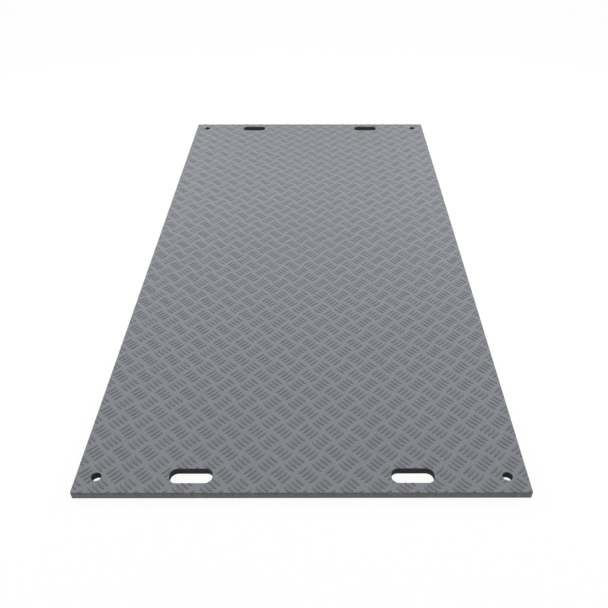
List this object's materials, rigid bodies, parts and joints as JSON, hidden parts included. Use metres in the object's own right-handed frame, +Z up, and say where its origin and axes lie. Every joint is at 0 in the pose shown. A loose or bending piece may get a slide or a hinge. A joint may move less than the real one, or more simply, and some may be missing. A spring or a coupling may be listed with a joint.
{
  "type": "ground protection mat",
  "caption": "Flat moulded plastic ground protection sheet with a raised bar tread, hand slots near both ends and a pinning hole in each corner.",
  "frame": {"origin": "middle of the mat's underside, on the ground", "axes": "+Z up out of the tread face, +Y along the mat's length, +X along its width"},
  "size_m": [1.22, 2.44, 0.023],
  "materials": {
    "dark_grey_polyethylene": "dark grey moulded polyethylene with a soft satin sheen, sawn plain at the edges"
  },
  "bodies": {
    "root": {"mat_sheet": "dark_grey_polyethylene"}
  },
  "joints": []
}
